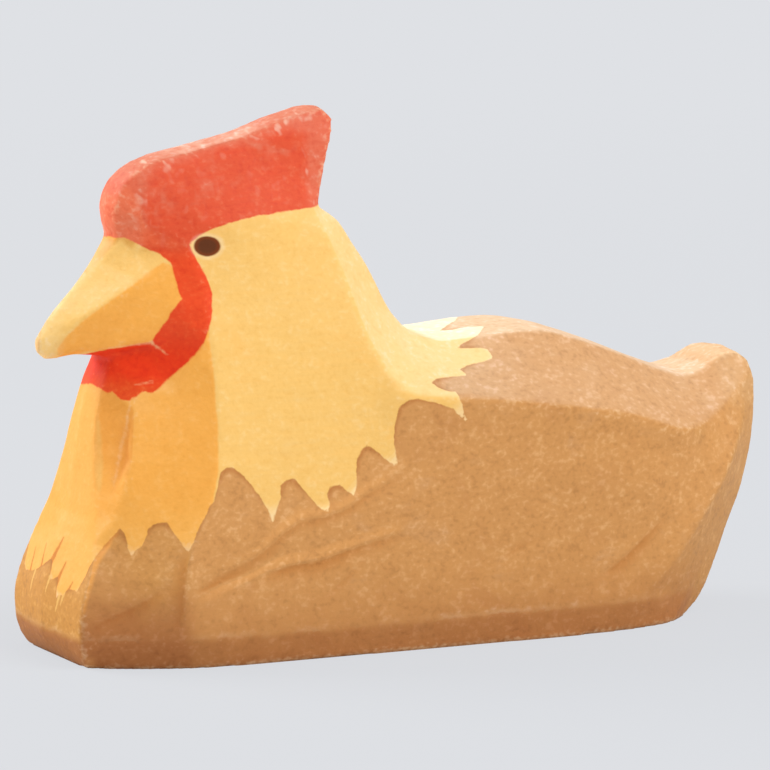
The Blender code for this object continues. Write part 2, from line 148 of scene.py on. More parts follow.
# Outline of the red on one side, as x and z: comb, cheek band and wattle.
RED_OUTLINE: tuple[Spot, ...] = (
    (-34.0, 38.7), (-28.8, 38.7), (-28.2, 38.8), (-26.5, 37.8), (-25.7, 37.5),
    (-24.8, 36.6), (-24.5, 35.0), (-24.3, 33.8), (-24.1, 33.3), (-25.1, 32.1),
    (-26.5, 29.4), (-26.8, 29.2), (-28.5, 28.8), (-30.1, 28.5), (-31.5, 28.1),
    (-33.0, 27.2), (-33.0, 25.4), (-30.8, 25.2), (-30.4, 24.7), (-30.0, 24.9),
    (-29.6, 24.2), (-29.1, 24.2), (-28.5, 24.7), (-27.9, 25.1), (-27.3, 24.9),
    (-26.6, 25.5), (-24.3, 27.7), (-23.4, 28.8), (-22.8, 30.2), (-22.1, 31.6),
    (-21.9, 32.8), (-21.7, 33.8), (-22.0, 35.0), (-22.6, 36.4), (-23.1, 37.5),
    (-23.3, 38.3), (-22.2, 39.1), (-21.1, 39.6), (-19.4, 40.1), (-16.5, 40.6),
    (-13.1, 40.8), (-9.6, 41.0), (-4.0, 41.2), (-4.0, 54.0), (-34.0, 54.0),
)

# Outline of the comb's flat side, as x and z. The red is rubbed thin outside it.
COMB_FACE: tuple[Spot, ...] = (
    (-11.0, 40.0), (-10.4, 47.2), (-12.2, 47.7), (-16.0, 46.7), (-20.9, 45.6),
    (-24.6, 44.9), (-26.2, 43.7), (-26.8, 41.9), (-27.0, 39.6), (-26.4, 36.0),
    (-26.4, 20.0), (-11.0, 20.0),
)

# Outlines of the faces that took a deeper yellow, as x and z: the beak's lower cut, and
# the cuts down the front of the neck.
BEAK_GOLD: tuple[Spot, ...] = (
    (-34.6, 28.6), (-34.0, 29.7), (-32.4, 31.5), (-30.3, 33.1), (-27.6, 35.1),
    (-25.5, 36.6), (-23.6, 36.0), (-23.6, 32.0), (-26.3, 28.9), (-32.0, 28.3), (-34.0, 27.6),
)
NECK_GOLD: tuple[Spot, ...] = (
    (-22.2, 34.0), (-22.5, 30.6), (-22.5, 26.1), (-22.7, 21.7), (-23.0, 18.2),
    (-24.2, 13.8), (-26.0, 10.3), (-28.6, 8.6), (-33.6, 8.6), (-33.5, 11.5),
    (-32.6, 14.5), (-31.9, 16.5), (-31.6, 18.0), (-31.2, 22.4), (-30.5, 26.0),
    (-26.0, 30.0), (-24.0, 34.0),
)

# Outline of the painted light that carries the lit breast's bright brown round onto the sides, as x
# and z.
BREAST_TURN: tuple[Spot, ...] = (
    (-30.9, 13.6), (-31.5, 12.7), (-32.4, 11.1), (-33.6, 9.4), (-34.2, 7.9), (-34.6, 6.6),
    (-35.2, 4.6), (-37.0, 4.6), (-37.0, 13.6),
)


class Reading:
    """A shader socket that takes part in Python arithmetic."""

    def __init__(self, graph: "Graph", socket: bpy.types.NodeSocket) -> None:
        """Keep the graph and the socket."""
        self.graph = graph
        self.socket = socket

    def _work(self, operation: str, first: Any, second: Any) -> "Reading":
        """Add one Math node.

        Args:
            operation: Name of the sum.
            first: Left value.
            second: Right value.

        Returns:
            The node's result.
        """
        return self.graph.add("ShaderNodeMath", {"operation": operation}, {0: first, 1: second})

    def __add__(self, other: Any) -> "Reading":
        """This value plus another."""
        return self._work("ADD", self, other)

    def __radd__(self, other: Any) -> "Reading":
        """Another value plus this one."""
        return self._work("ADD", other, self)

    def __sub__(self, other: Any) -> "Reading":
        """This value less another."""
        return self._work("SUBTRACT", self, other)

    def __rsub__(self, other: Any) -> "Reading":
        """Another value less this one."""
        return self._work("SUBTRACT", other, self)

    def __mul__(self, other: Any) -> "Reading":
        """This value times another."""
        return self._work("MULTIPLY", self, other)

    def __rmul__(self, other: Any) -> "Reading":
        """Another value times this one."""
        return self._work("MULTIPLY", other, self)

    def greater(self, other: Any) -> "Reading":
        """The larger of this value and another."""
        return self._work("MAXIMUM", self, other)

    def step(self, low: float, high: float) -> "Reading":
        """Rise smoothly from 0 to 1 between two levels.

        Args:
            low: Level at and below which the result is 0.
            high: Level at and above which it is 1. It may be the smaller one.

        Returns:
            The share from 0 to 1.
        """
        settings = {"interpolation_type": "SMOOTHSTEP", "clamp": True}
        return self.graph.add(
            "ShaderNodeMapRange", settings, {"Value": self, "From Min": low, "From Max": high}
        )


class Graph:
    """The nodes of one material or world, added by name."""

    def __init__(self, tree: bpy.types.NodeTree) -> None:
        """Take over a node tree and clear it."""
        self.tree = tree
        tree.nodes.clear()

    def add(
        self,
        kind: str,
        settings: dict[str, Any] | None = None,
        inputs: dict[int | str, Any] | None = None,
        output: int | str = 0,
    ) -> Reading:
        """Add any node.

        Args:
            kind: The node's type.
            settings: The node's own properties, set before its sockets.
            inputs: Numbers, colours or readings for its sockets, by name or index.
            output: The output that is wanted.

        Returns:
            A reading of that output.
        """
        node = self.tree.nodes.new(kind)
        for name, value in (settings or {}).items():
            setattr(node, name, value)
        for name, value in (inputs or {}).items():
            if isinstance(value, Reading):
                self.tree.links.new(value.socket, node.inputs[name])
            elif isinstance(value, tuple) and node.inputs[name].type == "RGBA":
                node.inputs[name].default_value = (*value, 1.0)
            else:
                node.inputs[name].default_value = value
        outputs = node.outputs
        return Reading(self, outputs[output] if len(outputs) else node)

    def field(self, field: Field) -> Reading:
        """A field that the piece's mesh carries."""
        return self.add("ShaderNodeAttribute", {"attribute_name": field.value}, output="Fac")

    def places(self, stretch: Colour = (1.0, 1.0, 1.0)) -> Reading:
        """Object coordinates in millimetres.

        Args:
            stretch: Factors on x, y and z, small along the way that a pattern is long.

        Returns:
            A vector.
        """
        here = self.add("ShaderNodeTexCoord", output="Object")
        return self.vector("MULTIPLY", here, tuple(factor / MM for factor in stretch))

    def along(self, axis: str) -> Reading:
        """Millimetres along one of the object's axes: X, Y or Z."""
        return self.add("ShaderNodeSeparateXYZ", {}, {0: self.places()}, output=axis)

    def lay(self, under: Any, over: Any, share: Any, blend: Blend = Blend.COVER) -> Reading:
        """Lay one colour over another.

        Args:
            under: Colour below.
            over: Colour on top.
            share: How much of the top one shows.
            blend: How it is laid.

        Returns:
            The mixed colour.
        """
        settings = {"data_type": "RGBA", "blend_type": blend.value, "clamp_factor": True}
        return self.add("ShaderNodeMix", settings, {0: share, 6: under, 7: over}, output=2)

    def vector(self, operation: str, first: Any, second: Any, output: int | str = 0) -> Reading:
        """Work with two vectors.

        Args:
            operation: Name of the sum.
            first: Left vector.
            second: Right vector, or the factor where the first is scaled.
            output: The output that is wanted.

        Returns:
            A vector or a number.
        """
        slot = "Scale" if operation == "SCALE" else 1
        return self.add(
            "ShaderNodeVectorMath", {"operation": operation}, {0: first, slot: second}, output
        )

    def shade(self, colour: Reading, light: Reading) -> Reading:
        """A colour made lighter or darker by a factor."""
        return self.vector("SCALE", colour, light)


@dataclass(frozen=True)
class Noise:
    """A noise of specks of some size in millimetres.

    It also has the number of its finer layers, the strength of each, how far it is pulled
    about, and factors that stretch it: small along the way that its specks are long.
    """

    size: float
    layers: float
    strength: float
    warp: float = 0.0
    stretch: Colour = (1.0, 1.0, 1.0)

    def laid(self, graph: Graph) -> Reading:
        """Lay the noise over the piece.

        Args:
            graph: Nodes to add to.

        Returns:
            A value from about -0.5 to 0.5.
        """
        inputs = {"Vector": graph.places(self.stretch), "Scale": 1 / self.size}
        inputs |= {"Detail": self.layers, "Roughness": self.strength, "Distortion": self.warp}
        return graph.add("ShaderNodeTexNoise", {}, inputs) - 0.5


@dataclass(frozen=True)
class Mask:
    """Where a shade lies, by a field or a noise.

    It has the value at which the shade starts, the value at which it is full, and the
    share that it covers there.
    """

    start: float
    full: float
    share: float = 1.0

    def on(self, reading: Reading) -> Reading:
        """The share that is covered at each place, by a reading of the field."""
        return reading.step(self.start, self.full) * self.share


@dataclass(frozen=True)
class Stroke:
    """A thin stroke of the brush or scratch of the blade, pointed at its start.

    Its ends and its half width are millimetres.
    """

    view: View
    start: Place
    end: Place
    width: float

    def depth(self, graph: Graph) -> Reading:
        """How far each place lies inside the stroke.

        Args:
            graph: Nodes to add to.

        Returns:
            Millimetres, negative outside.
        """
        start = Vector(self.start)
        run = Vector(self.end) - start
        away = graph.vector("SUBTRACT", graph.places(self.view.value), start)
        share = graph.vector("DOT_PRODUCT", away, run / run.length_squared, "Value")
        share = graph.add("ShaderNodeClamp", {}, {"Value": share})
        apart = graph.vector("DISTANCE", away, graph.vector("SCALE", run, share), "Value")
        return (share * 0.7 + 0.3) * self.width - apart


@dataclass(frozen=True)
class Stain:
    """A thin stain, and how unevenly it took.

    It has its plain, deep and thin shades, then what its pale flecks and its pores make of
    a shade, channel by channel.
    """

    plain: Colour
    deep: Colour
    thin: Colour
    fleck: Colour
    pore: Colour
    blotch: float
    texture: float


@dataclass(frozen=True)
class Patterns:
    """Noise that all the stains share, each centred on zero."""

    blotches: Reading
    mottles: Reading
    flecks: Reading
    specks: Reading
    streaks: Reading
    scratches: Reading
    bleed: Reading


@dataclass(frozen=True)
class Finish:
    """Everything that is seen on the surface of the wood, with light and shade painted into its
    colours in places.

    A mask whose name ends in height or length goes by millimetres along z or x, and one
    that ends in edge by millimetres inside that edge.
    """

    yellow: Stain = Stain(
        (0.86, 0.513, 0.143), (0.91, 0.388, 0.057), (0.90, 0.71, 0.38),
        (1.08, 1.30, 2.20), (0.88, 0.76, 0.52), 0.8, 0.30,
    )
    brown: Stain = Stain(
        (0.605, 0.284, 0.086), (0.385, 0.132, 0.035), (0.62, 0.39, 0.225),
        (1.50, 1.90, 2.90), (0.50, 0.40, 0.30), 1.0, 0.32,
    )
    red: Stain = Stain(
        (0.70, 0.078, 0.024), (0.82, 0.034, 0.002), (0.70, 0.34, 0.21),
        (1.10, 2.20, 3.20), (0.82, 0.36, 0.25), 1.0, 0.40,
    )
    cheek: Colour = (0.89, 0.074, 0.011)
    lit_front_red: Colour = (0.91, 0.145, 0.047)
    low_red: Colour = (0.80, 0.090, 0.011)
    crimson: Colour = (0.70, 0.030, 0.006)
    eye: Colour = (0.112, 0.026, 0.003)
    eye_brown: Colour = (0.175, 0.031, 0.001)
    cream: Colour = (0.93, 0.85, 0.66)
    seam: Colour = (0.66, 0.42, 0.20)
    pale_wood: Colour = (0.92, 0.70, 0.42)
    scratch_and_edge_highlight: Colour = (0.93, 0.56, 0.26)
    shaded: Colour = (0.87, 0.74, 0.57)
    front_lit_brown: Colour = (0.70, 0.32, 0.070)
    breast_shaded_brown: Colour = (0.57, 0.252, 0.044)
    turned_lit_brown: Colour = (0.90, 0.39, 0.085)
    rear_shaded_brown: Colour = (0.52, 0.252, 0.070)
    roughness: float = 0.60
    gloss: float = 0.22
    bump_strength: float = 0.5
    bump_depth: float = 0.05
    blotch_noise: Noise = Noise(5.0, 3.0, 0.55, 0.6)
    mottle_noise: Noise = Noise(1.3, 1.0, 0.5, 0.3)
    fleck_noise: Noise = Noise(0.52, 1.0, 0.50, 0.2, (1.0, 1.0, 1.2))
    speck_noise: Noise = Noise(0.34, 1.0, 0.5)
    streak_noise: Noise = Noise(0.42, 3.0, 0.6, 0.0, (0.10, 1.0, 1.0))
    scratch_noise: Noise = Noise(0.9, 1.0, 0.5, 0.3, (1.0, 0.5, 0.7))
    bleed_noise: Noise = Noise(0.9, 2.0, 0.6)
    bleed_reach: float = 0.34
    eye_middle: Spot = (-21.6, 37.97)
    eye_reach: Spot = (1.24, 0.92)
    dashes: tuple[Stroke, ...] = (
        Stroke(View.FRONT, (0.0, -0.9, 11.1), (0.0, -0.2, 8.9), 0.36),
        Stroke(View.FRONT, (0.0, -2.7, 9.1), (0.0, -2.2, 7.0), 0.34),
        Stroke(View.FRONT, (0.0, -4.9, 7.7), (0.0, -4.4, 6.4), 0.26),
        Stroke(View.FRONT, (0.0, 2.5, 10.1), (0.0, 1.8, 7.9), 0.24),
        Stroke(View.FRONT, (0.0, 4.9, 9.3), (0.0, 4.4, 7.1), 0.24),
    )
    streaks: tuple[Stroke, ...] = (
        Stroke(View.FRONT, (0.0, -2.8, 4.7), (0.0, -3.3, 6.6), 0.24),
        Stroke(View.FRONT, (0.0, -3.6, 5.4), (0.0, -4.0, 6.6), 0.20),
        Stroke(View.FRONT, (0.0, -0.6, 6.2), (0.0, -0.8, 7.6), 0.20),
        Stroke(View.FRONT, (0.0, 3.3, 5.6), (0.0, 3.1, 7.6), 0.22),
    )
    # Pale scratches of the blade, partly painted highlights where they run along the beak's lower
    # edge, the mouth's corner and the throat.
    scratches: tuple[Stroke, ...] = (
        Stroke(View.SIDE, (-30.8, 0.0, 28.6), (-26.7, 0.0, 29.2), 0.12),
        Stroke(View.SIDE, (-25.5, 0.0, 28.2), (-26.7, 0.0, 29.3), 0.15),
        Stroke(View.SIDE, (-28.4, 0.0, 25.5), (-27.1, 0.0, 25.8), 0.12),
        Stroke(View.SIDE, (-29.1, 0.0, 24.0), (-29.9, 0.0, 20.8), 0.12),
        Stroke(View.SIDE, (-31.2, 0.0, 16.6), (-30.0, 0.0, 20.7), 0.12),
    )

    # Where shades lie along z and x.
    neck_height: Mask = Mask(8.0, 17.0, 0.35)
    throat_height: Mask = Mask(16.5, 20.0)
    beak_length: Mask = Mask(-33.4, -35.0)
    beak_height: Mask = Mask(23.0, 25.0, 0.20)
    cheeks_height: Mask = Mask(26.5, 28.5, 0.08)
    tail_highlight_length: Mask = Mask(34.0, 31.0, 0.19)
    tail_pale_length: Mask = Mask(30.5, 33.0)
    tail_pale_height: Mask = Mask(18.0, 21.5, 0.12)
    foot_length: Mask = Mask(29.0, 24.0, 0.27)
    cheek_height: Mask = Mask(38.6, 36.6)
    wattle_height: Mask = Mask(32.0, 27.5, 0.85)
    wattle_foot_height: Mask = Mask(26.6, 24.8, 0.7)
    comb_height: Mask = Mask(37.0, 39.0)
    brow_height: Mask = Mask(37.6, 38.4)
    crest_front_length: Mask = Mask(-26.5, -21.0)
    crest_rear_length: Mask = Mask(-12.5, -16.5)
    # Where they lie inside the edges of the zones and strokes.
    cape_edge: Mask = Mask(-0.08, 0.08)
    seam_edge: Mask = Mask(-0.65, -0.12, 0.50)
    gold_edge: Mask = Mask(-0.12, 0.16)
    turned_edge: Mask = Mask(-0.25, 0.15)
    foot_edge: Mask = Mask(-0.45, 0.45)
    foot_upper_edge: Mask = Mask(-0.8, -0.2)
    foot_lower_edge: Mask = Mask(0.1, -0.15)
    red_edge: Mask = Mask(-0.20, 0.0)
    comb_rim_edge: Mask = Mask(0.6, -0.8)
    flecks_outer_edge: Mask = Mask(-2.6, -0.6)
    flecks_inner_edge: Mask = Mask(1.2, -0.2)
    eye_edge: Mask = Mask(-0.10, 0.12)
    eye_core_edge: Mask = Mask(0.10, 0.50)
    halo_edge: Mask = Mask(-0.52, -0.12)
    stroke_edge: Mask = Mask(-0.12, 0.14)
    # Where they lie by how far the wood faces forward.
    gold_front_shade: Mask = Mask(0.72, 0.92, 0.74)
    yellow_rear_highlight: Mask = Mask(-0.25, -0.5, 0.12)
    cheeks_start: Mask = Mask(0.2, 0.55)
    cheeks_end: Mask = Mask(0.85, 0.70)
    throat_start: Mask = Mask(0.70, 0.80)
    throat_end: Mask = Mask(0.92, 0.86, 0.6)
    breast_front: Mask = Mask(0.4, 0.8)
    brown_front_light: Mask = Mask(0.35, 0.85, 0.7)
    brown_breast_shade: Mask = Mask(0.76, 0.92, 0.75)
    turned_facing: Mask = Mask(0.80, 0.66, 0.8)
    brown_rear_shade: Mask = Mask(-0.35, -0.70, 0.6)
    foot_front: Mask = Mask(0.3, 0.6, 0.34)
    brow_ahead: Mask = Mask(0.34, 0.6)
    # Where they lie by how far it faces up.
    yellow_rims_highlight: Mask = Mask(0.25, 0.95, 0.62)
    yellow_top_highlight: Mask = Mask(0.93, 1.0, 0.60)
    cheeks_steep: Mask = Mask(0.60, 0.40)
    brown_rims_highlight: Mask = Mask(0.2, 0.9, 0.45)
    brown_top_highlight: Mask = Mask(0.74, 1.0)
    brow_steep: Mask = Mask(0.55, 0.25)
    comb_top_highlight: Mask = Mask(0.5, 1.0, 0.30)
    comb_shade: Mask = Mask(0.62, 0.95, 0.14)
    crest_level: Mask = Mask(0.80, 0.97)
    # Where they lie by the yellow around, the painted shade low on the sides, the cuts and the bend.
    seam_around: Mask = Mask(0.36, 0.56)
    feather_tips: Mask = Mask(0.50, 0.22, 0.26)
    brown_low_shade: Mask = Mask(0.0, 1.0, 0.85)
    cut_shade: Mask = Mask(0.15, 1.0, 0.9)
    ridge_light: Mask = Mask(-0.05, -0.8, 0.14)
    edge_wear_and_highlight: Mask = Mask(0.35, 1.5, 0.34)
    groove_shade: Mask = Mask(-0.3, -1.1, 0.45)
    # Where they lie by noise.
    halo_patches: Mask = Mask(-0.4, 0.2, 0.16)
    halo_share: float = 0.05
    thick_patches: Mask = Mask(0.02, 0.42, 0.40)
    thin_patches: Mask = Mask(-0.05, -0.50, 0.40)
    fleck_levels: Mask = Mask(0.0, 0.40)
    pore_levels: Mask = Mask(0.0, -0.40)
    foot_patches: Mask = Mask(-0.1, 0.2, 0.16)
    crimson_patches: Mask = Mask(0.0, 0.36, 0.35)
    comb_patches: Mask = Mask(-0.02, -0.34, 0.14)
    comb_flecks: Mask = Mask(0.10, 0.36)

    def material(self) -> bpy.types.Material:
        """Build the material.

        Returns:
            Stained wood, with its zones read from the piece's fields.
        """
        material = bpy.data.materials.new("stained_wood")
        material.use_nodes = True
        graph = Graph(material.node_tree)
        patterns = Patterns(
            blotches=self.blotch_noise.laid(graph),
            mottles=self.mottle_noise.laid(graph),
            flecks=self.fleck_noise.laid(graph),
            specks=self.speck_noise.laid(graph),
            streaks=self.streak_noise.laid(graph),
            scratches=self.scratch_noise.laid(graph),
            bleed=self.bleed_noise.laid(graph) * self.bleed_reach,
        )
        colour = self.feathered(graph, patterns)
        cheek = graph.field(Field.RED) + patterns.bleed * 0.8
        colour = graph.lay(colour, self.red_shades(graph, patterns), self.red_edge.on(cheek))
        # Pale scratches, partly painted highlights on the beak's lower edge, the mouth's corner and
        # the throat.
        scratch_and_edge_highlight = self.inside(graph, self.scratches, patterns)
        colour = graph.lay(colour, self.scratch_and_edge_highlight, scratch_and_edge_highlight * (patterns.flecks * 1.2 + 0.42))
        eye = self.eye_depth(graph) + patterns.bleed * 0.3
        halo = self.halo_patches.on(patterns.blotches) + self.halo_share
        colour = graph.lay(colour, self.cream, self.halo_edge.on(eye) * halo)
        dark = graph.lay(self.eye_brown, self.eye, self.eye_core_edge.on(eye))
        colour = graph.lay(colour, dark, self.eye_edge.on(eye))

        # Painted shade in the knife cuts' hollows, with stain pooled there, and a painted highlight
        # on the ridge beside each cut.
        hollow = graph.field(Field.HOLLOW) + patterns.flecks * 0.5
        colour = graph.lay(colour, self.shaded, self.cut_shade.on(hollow), Blend.MULTIPLY)
        colour = graph.shade(colour, 1.0 + self.ridge_light.on(hollow))
        # Pale wood on the edges, worn and partly a painted highlight, and painted shade in the
        # grooves.
        bend = graph.field(Field.BEND) + patterns.flecks * 1.6
        colour = graph.lay(colour, self.pale_wood, self.edge_wear_and_highlight.on(bend))
        colour = graph.lay(colour, self.shaded, self.groove_shade.on(bend), Blend.MULTIPLY)
        colour = graph.shade(colour, 1.0 + patterns.streaks * 0.08)

        height = patterns.flecks * 0.8 + patterns.streaks * 0.5 + patterns.specks * 0.4
        bump = graph.add(
            "ShaderNodeBump",
            {},
            {"Strength": self.bump_strength, "Distance": self.bump_depth * MM, "Height": height},
        )
        rough = self.roughness + patterns.flecks * 0.16 - self.eye_edge.on(eye) * 0.15
        shader = graph.add(
            "ShaderNodeBsdfPrincipled",
            {},
            {
                "Base Color": colour,
                "Roughness": rough,
                "Normal": bump,
                "Specular IOR Level": self.gloss,
            },
        )
        graph.add("ShaderNodeOutputMaterial", {}, {"Surface": shader})
        return material

    def stained(self, graph: Graph, stain: Stain, patterns: Patterns) -> Reading:
        """One stain as it pooled and thinned on the wood.

        Args:
            graph: Nodes to add to.
            stain: The stain.
            patterns: Noise to use.

        Returns:
            Its colour.
        """
        uneven = patterns.blotches * stain.blotch + patterns.streaks * 0.25
        colour = graph.lay(stain.plain, stain.deep, self.thick_patches.on(uneven))
        return graph.lay(colour, stain.thin, self.thin_patches.on(uneven))

    def flecked(
        self, graph: Graph, stain: Stain, patterns: Patterns, colour: Reading
    ) -> Reading:
        """A stain's colour with the pale flecks and dark pores of the wood.

        Args:
            graph: Nodes to add to.
            stain: The stain.
            patterns: Noise to use.
            colour: The colour so far.

        Returns:
            The colour.
        """
        grain = patterns.mottles * 0.7 + patterns.flecks + patterns.specks * 0.2
        fleck = self.fleck_levels.on(grain) * stain.texture
        pore = self.pore_levels.on(grain) * stain.texture
        colour = graph.lay(colour, stain.fleck, fleck, Blend.MULTIPLY)
        return graph.lay(colour, stain.pore, pore, Blend.MULTIPLY)

    def feathered(self, graph: Graph, patterns: Patterns) -> Reading:
        """The yellow laid over the brown, down to the feather edge.

        Args:
            graph: Nodes to add to.
            patterns: Noise to use.

        Returns:
            The colour of both.
        """
        forward = graph.field(Field.FORWARD)
        around = graph.field(Field.AROUND)
        cape = graph.field(Field.CAPE) + patterns.bleed
        brown = self.brown_shades(graph, patterns)
        seam = self.seam_edge.on(cape) * self.seam_around.on(around + patterns.flecks * 0.3)
        brown = graph.lay(brown, self.seam, seam, Blend.MULTIPLY)
        front = self.breast_front.on(forward)
        streaked = self.inside(graph, self.streaks, patterns) * front
        brown = graph.lay(brown, self.yellow.plain, streaked * 0.7)

        yellow = self.yellow_shades(graph, patterns)
        tip = self.feather_tips.on(around + patterns.flecks * 0.2)
        yellow = graph.lay(yellow, self.cream, tip)
        dashed = self.inside(graph, self.dashes, patterns) * front
        yellow = graph.lay(yellow, self.seam, dashed * 0.85, Blend.MULTIPLY)
        return graph.lay(brown, yellow, self.cape_edge.on(cape))

    def yellow_shades(self, graph: Graph, patterns: Patterns) -> Reading:
        """The yellow: deep down the neck's front, with painted shade on faces that turn forward and
        darkest at the throat, painted light on the beak, and a painted highlight on the rims.

        Args:
            graph: Nodes to add to.
            patterns: Noise to use.

        Returns:
            Its colour.
        """
        rising = graph.field(Field.RISING)
        forward = graph.field(Field.FORWARD)
        height = graph.along("Z")
        yellow = self.stained(graph, self.yellow, patterns)
        gold = graph.field(Field.GOLD) + patterns.bleed * 0.5 + patterns.blotches * 0.3
        full = self.neck_height.on(height) + 0.50
        yellow = graph.lay(yellow, self.yellow.deep, self.gold_edge.on(gold) * full)
        # Painted shade: the yellow deepened on the faces that turn forward.
        yellow = graph.lay(yellow, self.yellow.deep, self.gold_front_shade.on(forward))
        tip = self.beak_length.on(graph.along("X")) * self.beak_height.on(height)
        yellow = graph.lay(yellow, self.yellow.thin, tip)
        # Painted highlight: a paler yellow where the wood turns up, and cream where it faces the tail
        # and on the tops.
        yellow = graph.lay(yellow, self.yellow.thin, self.yellow_rims_highlight.on(rising))
        yellow = graph.lay(yellow, self.cream, self.yellow_rear_highlight.on(forward))
        yellow = graph.lay(yellow, self.cream, self.yellow_top_highlight.on(rising))
        # Painted light: the yellow lighter where it turns part way forward and not up, most of all
        # from the beak's height up.
        cheeks_painted_light = self.cheeks_start.on(forward) * self.cheeks_end.on(forward)
        cheeks_painted_light = cheeks_painted_light * self.cheeks_steep.on(rising)
        yellow = graph.shade(yellow, 1.0 + cheeks_painted_light * (self.cheeks_height.on(height) + 0.02))
        # Painted shadow under the wattle, on a strip down the throat between its front and its sides.
        throat = self.throat_start.on(forward) * self.throat_end.on(forward)
        throat = throat * self.throat_height.on(height)
        yellow = graph.lay(yellow, self.shaded, throat, Blend.MULTIPLY)
        return self.flecked(graph, self.yellow, patterns, yellow)

    def brown_shades(self, graph: Graph, patterns: Patterns) -> Reading:
        """The brown, with light and shade painted in: bright on the breast, darker low beside it,
        pale on the back's rims.

        Args:
            graph: Nodes to add to.
            patterns: Noise to use.

        Returns:
            Its colour.
        """
        rising = graph.field(Field.RISING)
        forward = graph.field(Field.FORWARD)
        foot = graph.field(Field.FOOT) + patterns.flecks * 0.7 + patterns.blotches * 0.5
        painted_low_shade = graph.field(Field.LOW_SHADE) + patterns.flecks * 0.35 + patterns.blotches * 0.35
        brown = self.stained(graph, self.brown, patterns)
        # Painted light: a lighter brown where the wood turns forward.
        brown = graph.lay(brown, self.front_lit_brown, self.brown_front_light.on(forward))
        # Painted shade: a darker brown where the wood looks straight ahead.
        brown = graph.lay(brown, self.breast_shaded_brown, self.brown_breast_shade.on(forward))
        # Painted light: the lit breast's bright brown carried round onto the sides.
        turned = graph.field(Field.BREAST) + patterns.bleed
        turned = self.turned_edge.on(turned) * self.turned_facing.on(forward)
        brown = graph.lay(brown, self.turned_lit_brown, turned)
        # Painted shade: a darker brown where the wood faces the tail.
        brown = graph.lay(brown, self.rear_shaded_brown, self.brown_rear_shade.on(forward))
        along = graph.along("X")
        # Painted shade: the brown darker low on the sides, most of all beside the breast.
        brown = graph.lay(brown, self.brown.deep, self.brown_low_shade.on(painted_low_shade))
        # Painted highlight: a paler brown where the wood turns up, and cream on the tops, most of all
        # on the tail.
        brown = graph.lay(brown, self.brown.thin, self.brown_rims_highlight.on(rising))
        top_highlight_share = self.tail_highlight_length.on(along) + 0.08
        brown = graph.lay(brown, self.cream, self.brown_top_highlight.on(rising) * top_highlight_share)
        # Paler towards the top of the tail.
        paler_share = self.tail_pale_length.on(along) * self.tail_pale_height.on(graph.along("Z"))
        brown = graph.lay(brown, self.pale_wood, paler_share)
        edge = self.foot_upper_edge.on(foot) * self.foot_lower_edge.on(foot)
        edge = edge * self.foot_patches.on(patterns.blotches)
        brown = graph.lay(brown, self.pale_wood, edge)
        # Painted shade on the strip below the belly's edge: less towards the tail, more where the
        # wood turns forward.
        foot_shade_share = self.foot_length.on(along) + self.foot_front.on(forward) + 0.20
        brown = graph.lay(brown, self.brown.deep, self.foot_edge.on(foot) * foot_shade_share)
        return self.flecked(graph, self.brown, patterns, brown)

    def red_shades(self, graph: Graph, patterns: Patterns) -> Reading:
        """The red: full on cheek and wattle, thin round the comb's rim, palest on its crest; the
        comb's front carries a painted light and its crest a painted highlight.

        Args:
            graph: Nodes to add to.
            patterns: Noise to use.

        Returns:
            Its colour.
        """
        height = graph.along("Z")
        red = self.stained(graph, self.red, patterns)
        below = self.cheek_height.on(height)
        red = graph.lay(red, self.cheek, below * 0.80)
        red = graph.lay(red, self.red.deep, self.wattle_height.on(height))
        red = graph.lay(red, self.low_red, self.wattle_foot_height.on(height))
        pooled = self.crimson_patches.on(patterns.blotches + patterns.mottles * 0.8)
        red = graph.lay(red, self.crimson, pooled * below)
        comb = self.comb_height.on(height)
        face = graph.field(Field.COMB) + patterns.blotches * 1.6 + patterns.scratches * 1.0
        rising = graph.field(Field.RISING)
        forward = graph.field(Field.FORWARD)
        # Painted light: a brighter red on the comb's forward faces that do not turn up, above the
        # brow.
        ahead = self.brow_ahead.on(forward) * self.brow_steep.on(rising)
        ahead = ahead * self.brow_height.on(height)
        red = graph.lay(red, self.lit_front_red, ahead * 0.9)
        # The red worn thin round the comb's rim, and thinner where it turns up, a painted highlight.
        paler_share = self.comb_top_highlight.on(rising) + 0.20
        red = graph.lay(red, self.red.thin, paler_share * self.comb_rim_edge.on(face) * comb)
        red = graph.shade(red, 1.0 - self.comb_shade.on(rising) * comb)
        patchy = self.comb_patches.on(patterns.blotches + patterns.scratches * 0.7)
        red = graph.lay(red, self.red.thin, patchy * comb)
        # Painted highlight: cream along the top of the comb's crest, broken by scratches.
        along = graph.along("X")
        crest = self.crest_front_length.on(along) * self.crest_rear_length.on(along)
        crest = crest * self.crest_level.on(rising)
        red = graph.lay(red, self.cream, crest * comb * (patterns.scratches * 0.5 + 0.17))
        red = self.flecked(graph, self.red, patterns, red)
        rim = self.flecks_outer_edge.on(face) * self.flecks_inner_edge.on(face)
        rim = rim * (0.30 - ahead * 0.24) + 0.05
        fleck = self.comb_flecks.on(patterns.scratches + patterns.mottles * 0.7)
        return graph.lay(red, self.cream, fleck * comb * rim)

    def inside(self, graph: Graph, strokes: tuple[Stroke, ...], patterns: Patterns) -> Reading:
        """Share from 0 to 1 that lies inside any of some strokes.

        Args:
            graph: Nodes to add to.
            strokes: The strokes.
            patterns: Noise that breaks them up.

        Returns:
            The share.
        """
        depths = [stroke.depth(graph) for stroke in strokes]
        deepest = depths[0]
        for depth in depths[1:]:
            deepest = deepest.greater(depth)
        return self.stroke_edge.on(deepest + patterns.specks * 0.22)

    def eye_depth(self, graph: Graph) -> Reading:
        """How far each place lies inside the eye's rim.

        Args:
            graph: Nodes to add to.

        Returns:
            Millimetres, negative outside.
        """
        wide, tall = self.eye_reach
        middle = (self.eye_middle[0] / wide, 0.0, self.eye_middle[1] / tall)
        apart = graph.vector("DISTANCE", graph.places((1 / wide, 0.0, 1 / tall)), middle, "Value")
        return (1.0 - apart) * ((wide + tall) / 2)


